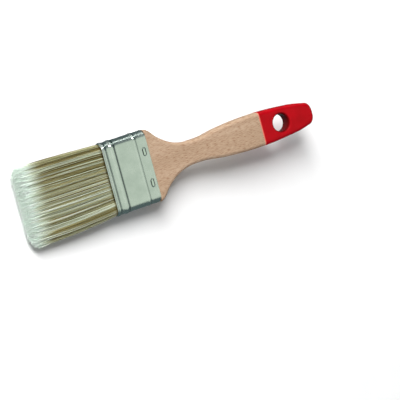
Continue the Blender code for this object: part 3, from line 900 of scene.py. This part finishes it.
def filament_paths(y, z, out, clumps, random):
    """The rings' centres, as (y, z) arrays: gathered to their clumps, widening with the pack, wandering."""
    seed_y, seed_z, clump = clumps
    free = np.clip(out, 0, None) / BRISTLE_OUT
    gather = GATHER_AT_MOUTH + GATHER_MORE * part_way(out, 0.0, 0.008)
    gather = (gather - GATHER_LESS * part_way(free, 0.62, 0.87)) * part_way(out, -0.001, 0.0)
    away_y = y[:, None] + (seed_y[clump] - y)[:, None] * gather
    away_z = z[:, None] + (seed_z[clump] - z)[:, None] * gather
    centre_y = away_y * pack_half_width(out) / FILL_HALF_WIDTH + wander(out, clump, 0, random)
    flare = FLARE * np.sin(0.5 * math.pi * part_way(free, 0.0, 0.65))
    centre_y -= flare * part_way(-y, 0.0, FILL_HALF_WIDTH)[:, None] ** 1.5
    centre_z = away_z * pack_half_thickness(out) / FILL_HALF_THICKNESS + wander(out, clump, 1, random)
    return centre_y, centre_z


def parted(y, z, centre_z, inward, row_of):
    """The rings' heights once the rows part around the two spacer plugs: fully where inward is 1."""
    third = FILL_HALF_THICKNESS / 3
    band_low = np.array([PLUG_OUTER, -PLUG_INNER, -FILL_HALF_THICKNESS + CLEARANCE])[row_of]
    band_high = np.array([FILL_HALF_THICKNESS - CLEARANCE, PLUG_INNER, -PLUG_OUTER])[row_of]
    share = np.clip((z - np.array([third, -third, -FILL_HALF_THICKNESS])[row_of]) / (2 * third), 0, 1)
    banded = (band_low + (band_high - band_low) * share)[:, None]
    within_plugs = (np.abs(y) < PLUG_HALF_WIDTH)[:, None]
    return np.where(within_plugs, centre_z * (1 - inward) + banded * inward, centre_z)


def ring_radii(out, inward):
    """The rings' radii: thinner between the plugs, and tapered to the tip."""
    taper = part_way(out / BRISTLE_OUT, 0.86, 1.02) ** 1.3
    return (FILAMENT_RADIUS + (TIP_RADIUS - FILAMENT_RADIUS) * taper) * (1 - 0.25 * inward)


def colour_places(out, fade_start):
    """Each ring's place along its filament's colours."""
    start = fade_start[:, None]
    outside = MAP_MOUTH + (MAP_FADE - MAP_MOUTH) * part_way(out, 0.0, start)
    fading = (MAP_TIP - MAP_FADE) * part_way(out, start, start + FADE_LENGTH)
    return np.where(out < 0, MAP_INSIDE, outside + fading)


def make_bristles(material):
    """Three rows of separate filaments, from the resin through the plugs' gaps to the frayed tips."""
    random = np.random.default_rng(SEED)
    y, z = filament_places(random)
    row_of = np.where(z > FILL_HALF_THICKNESS / 3, 0, np.where(z < -FILL_HALF_THICKNESS / 3, 2, 1))
    clumps = make_clumps(y, z, random)
    seed_y, _, clump = clumps
    length = filament_lengths(y, z, random)
    length = length - np.abs(random.normal(0, CLUMP_SHORT_SPREAD, CLUMPS))[clump]
    shade = filament_shades(z, seed_y, clump, random)
    fade_start = fade_starts(y, clump, random)
    out = ring_places(length, fade_start)
    phase = random.uniform(0, 2 * math.pi, (len(y), 1))
    centre_y, centre_z = filament_paths(y, z, out, clumps, random)
    inward = part_way(-out, 0.001, PLUG_IN)
    inward = inward * inward * (3 - 2 * inward)
    centre_z = parted(y, z, centre_z, inward, row_of)
    radius = ring_radii(out, inward)
    along = colour_places(out, fade_start)

    for row, name in enumerate(("front", "middle", "back")):
        chosen = row_of == row
        mesh = filament_mesh(f"filaments_{name}", out[chosen], centre_y[chosen], centre_z[chosen],
                             radius[chosen], shade[chosen], along[chosen], phase[chosen])
        bristles = link(f"filaments_{name}", mesh, material)
        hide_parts(f"bristle_row_{name}", f"bristle_roots_{name}")
        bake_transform(bristles)


def filament_mesh(name, out, centre_y, centre_z, radius, shade, along, phase, sides=3):
    """One mesh of tapered, capped tubes; each tube's map is a narrow strip, its shade by its colours."""
    count, rings = out.shape
    turns = phase[:, :, None] + np.arange(sides)[None, None, :] * 2 * math.pi / sides
    x = MOUTH.x - out[:, :, None].repeat(sides, 2)
    y = MOUTH.y + centre_y[:, :, None] + radius[:, :, None] * np.cos(turns)
    z = MOUTH.z + centre_z[:, :, None] + radius[:, :, None] * np.sin(turns)
    points = np.stack([x, y, z], -1).reshape(-1, 3)
    base = (np.arange(count)[:, None, None] * rings + np.arange(rings - 1)[None, :, None]) * sides
    side = np.arange(sides)[None, None, :]
    after = (side + 1) % sides
    quads = np.stack([base + side, base + sides + side, base + sides + after, base + after], -1)
    quads = quads.reshape(-1, 4)
    start = np.arange(count)[:, None] * rings * sides
    caps = [start + np.arange(sides)[None, :], start + (rings - 1) * sides + np.arange(sides)[None, ::-1]]
    caps = np.concatenate(caps)
    mesh = bpy.data.meshes.new(name)
    mesh.vertices.add(len(points))
    mesh.vertices.foreach_set("co", points.astype(np.float32).ravel())
    loops = np.concatenate([quads.ravel(), caps.ravel()])
    mesh.loops.add(len(loops))
    mesh.loops.foreach_set("vertex_index", loops.astype(np.int32))
    starts = np.concatenate([np.arange(len(quads)) * 4, len(quads) * 4 + np.arange(len(caps)) * sides])
    mesh.polygons.add(len(starts))
    mesh.polygons.foreach_set("loop_start", starts.astype(np.int32))
    mesh.update(calc_edges=True)
    column = shade[:, None, None] + np.linspace(-0.003, 0.003, sides)[None, None, :]
    column = np.broadcast_to(column, (count, rings, sides)).reshape(-1)
    height = np.broadcast_to(along[:, :, None], (count, rings, sides)).reshape(-1)
    layer = mesh.uv_layers.new(name=FILAMENT_MAP)
    layer.data.foreach_set("uv", np.stack([column[loops], height[loops]], -1).astype(np.float32).ravel())
    mesh.shade_smooth()
    return mesh


# ---------------------------------------------------------------- CAD nodes that stay


def dress_inner_pieces():
    """Looks for the resin and the plugs, whose CAD meshes stay as they are."""
    for names, material in ((("resin_setting",), make_resin()),
                            (("spacer_plug_front", "spacer_plug_back"), make_plug_wood())):
        for name in names:
            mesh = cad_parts[name].data
            mesh.materials.clear()
            mesh.materials.append(material)


# ---------------------------------------------------------------- studio


def make_camera():
    """A long lens above the bristles' end, rolled so that the handle rises to the right."""
    azimuth, elevation, roll = math.radians(254.362), math.radians(61.262), math.radians(88.648)
    distance = 2.0816
    target = Vector((0.01456, -0.03354, MOUTH.z))
    back = Vector((math.sin(azimuth) * math.cos(elevation), -math.cos(azimuth) * math.cos(elevation),
                   math.sin(elevation)))
    level = Vector((0.0, 0.0, 1.0)).cross(back).normalized()
    rise = back.cross(level)
    right = level * math.cos(roll) + rise * math.sin(roll)
    up = back.cross(right)
    data = bpy.data.cameras.new("camera")
    data.lens = 272.8
    data.sensor_width = 36.0
    data.clip_start, data.clip_end = 0.05, 20.0
    camera = bpy.data.objects.new("camera", data)
    bpy.context.scene.collection.objects.link(camera)
    axes = Matrix((right, up, back)).transposed().to_4x4()
    camera.matrix_world = Matrix.Translation(target + back * distance) @ axes
    bpy.context.scene.camera = camera


def make_floor():
    """A pale floor just under the tips, which falls away so that the handle stands clear of it."""
    mesh = bpy.data.meshes.new("floor")
    shape = bmesh.new()
    bmesh.ops.create_grid(shape, x_segments=2, y_segments=2, size=FLOOR_HALF_SIDE)
    shape.to_mesh(mesh)
    shape.free()
    material, tree, shader = new_material("pale_floor")
    paper = noise(tree, mapped(tree, (1.0, 1.0, 1.0)), 40.0, 2.0)
    tree.links.new(ramp(tree, paper, ((0.3, (0.90, 0.90, 0.90)), (0.7, (0.92, 0.92, 0.92)))),
                   shader.inputs["Base Color"])
    shader.inputs["Roughness"].default_value = 0.9
    shader.inputs["Specular IOR Level"].default_value = 0.1
    floor = link("floor", mesh, material)
    floor.location = (CAD_BOX[0].x, 0.0, FLOOR_HEIGHT)
    floor.rotation_euler = (0.0, FLOOR_TILT, 0.0)
    floor.visible_glossy = False


def area_light(name, direction, distance, size, power):
    """A soft box aimed at the brush; size is its level side, then its upright one."""
    data = bpy.data.lights.new(name, "AREA")
    data.shape = "RECTANGLE"
    data.size, data.size_y = size
    data.energy = power
    light = bpy.data.objects.new(name, data)
    light.location = Vector(direction).normalized() * distance
    light.rotation_mode = "QUATERNION"
    light.rotation_quaternion = (-light.location).to_track_quat("-Z", "Y")
    bpy.context.scene.collection.objects.link(light)
    return light


def make_lights():
    """A soft key, a small spark for glints, a low strip, a low fill, and a box for the metal to mirror."""
    key = area_light("key", (-0.20, 0.64, 0.72), 1.6, (0.7, 1.1), 41.0)
    key.visible_glossy = False
    spark = area_light("spark", (-0.08, 0.62, 0.78), 1.6, (0.12, 0.12), 7.0)
    spark.visible_diffuse = False
    strip = area_light("side_strip", (0.46, 0.83, 0.31), 1.4, (1.4, 0.12), 2.1)
    strip.data.color = (0.96, 1.0, 1.0)
    low_fill = area_light("low_fill", (-0.10, -0.95, 0.16), 1.4, (1.4, 0.3), 7.0)
    low_fill.visible_glossy = False
    overhead = area_light("overhead_box", (0.22, -0.28, 0.90), 1.4, (1.9, 1.7), 7.0)
    overhead.visible_diffuse = False
    overhead.data.color = (0.965, 1.0, 0.855)


def make_world():
    """A dim studio that glows on one side, cooler where it is mirrored, and white to the camera."""
    world = bpy.data.worlds.new("studio")
    bpy.context.scene.world = world
    world.use_nodes = True
    tree = world.node_tree
    place = add_node(tree, "ShaderNodeTexCoord")
    facing = add_node(tree, "ShaderNodeVectorMath", {0: place.outputs["Generated"], 1: GLOW_SIDE},
                      operation="DOT_PRODUCT").outputs["Value"]
    rays = add_node(tree, "ShaderNodeLightPath")
    fill = ramp(tree, facing, ((0.10, WORLD_FILL), (0.70, WORLD_GLOW)))
    mirrored = ramp(tree, facing, ((0.10, WORLD_MIRRORED), (0.70, WORLD_GLOW)))
    glow = mix(tree, rays.outputs["Is Glossy Ray"], fill, mirrored)
    seen = mix(tree, rays.outputs["Is Camera Ray"], glow, WHITE)
    tree.links.new(seen, tree.nodes["Background"].inputs["Color"])


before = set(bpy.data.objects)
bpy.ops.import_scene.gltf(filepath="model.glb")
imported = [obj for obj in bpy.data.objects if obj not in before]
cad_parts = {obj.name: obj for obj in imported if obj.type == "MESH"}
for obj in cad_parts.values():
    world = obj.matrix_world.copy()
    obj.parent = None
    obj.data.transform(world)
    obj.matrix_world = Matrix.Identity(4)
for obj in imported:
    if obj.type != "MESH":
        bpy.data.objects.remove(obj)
CAD_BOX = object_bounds()
FERRULE_LOW, FERRULE_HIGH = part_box("ferrule")
RESIN_LOW, RESIN_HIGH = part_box("resin_setting")
HANDLE_LOW, HANDLE_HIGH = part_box("handle")
PLUG_LOW, PLUG_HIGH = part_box("spacer_plug_front")
FERRULE_LENGTH = FERRULE_HIGH.x - FERRULE_LOW.x
MOUTH = Vector((FERRULE_LOW.x, 0.0, 0.5 * (FERRULE_LOW.z + FERRULE_HIGH.z)))
DIP_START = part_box("red_lacquer_dip")[0].x - MOUTH.x
FILL_HALF_WIDTH = RESIN_HIGH.y
FILL_HALF_THICKNESS = 0.5 * (RESIN_HIGH.z - RESIN_LOW.z)
FERRULE_WIDTH = 2 * (FILL_HALF_WIDTH + CLEARANCE + SHEET)
FERRULE_THICKNESS = 2 * (FILL_HALF_THICKNESS + CLEARANCE + SHEET)
BEAD_HEIGHT = 0.5 * (FERRULE_HIGH.z - FERRULE_LOW.z - FERRULE_THICKNESS)
BOARD_HALF = 0.5 * (HANDLE_HIGH.z - HANDLE_LOW.z)
PLUG_HALF_WIDTH = PLUG_HIGH.y
PLUG_INNER = PLUG_LOW.z - MOUTH.z - CLEARANCE
PLUG_OUTER = PLUG_HIGH.z - MOUTH.z + CLEARANCE

bpy.context.scene.view_settings.view_transform = "Standard"
make_camera()
make_floor()
make_lights()
make_world()
make_handle(make_beech())
make_lacquer(make_red_lacquer(MOUTH.x + DIP_START))
make_ferrule(make_tinplate())
make_staples(make_wire())
make_bristles(make_filament())
dress_inner_pieces()
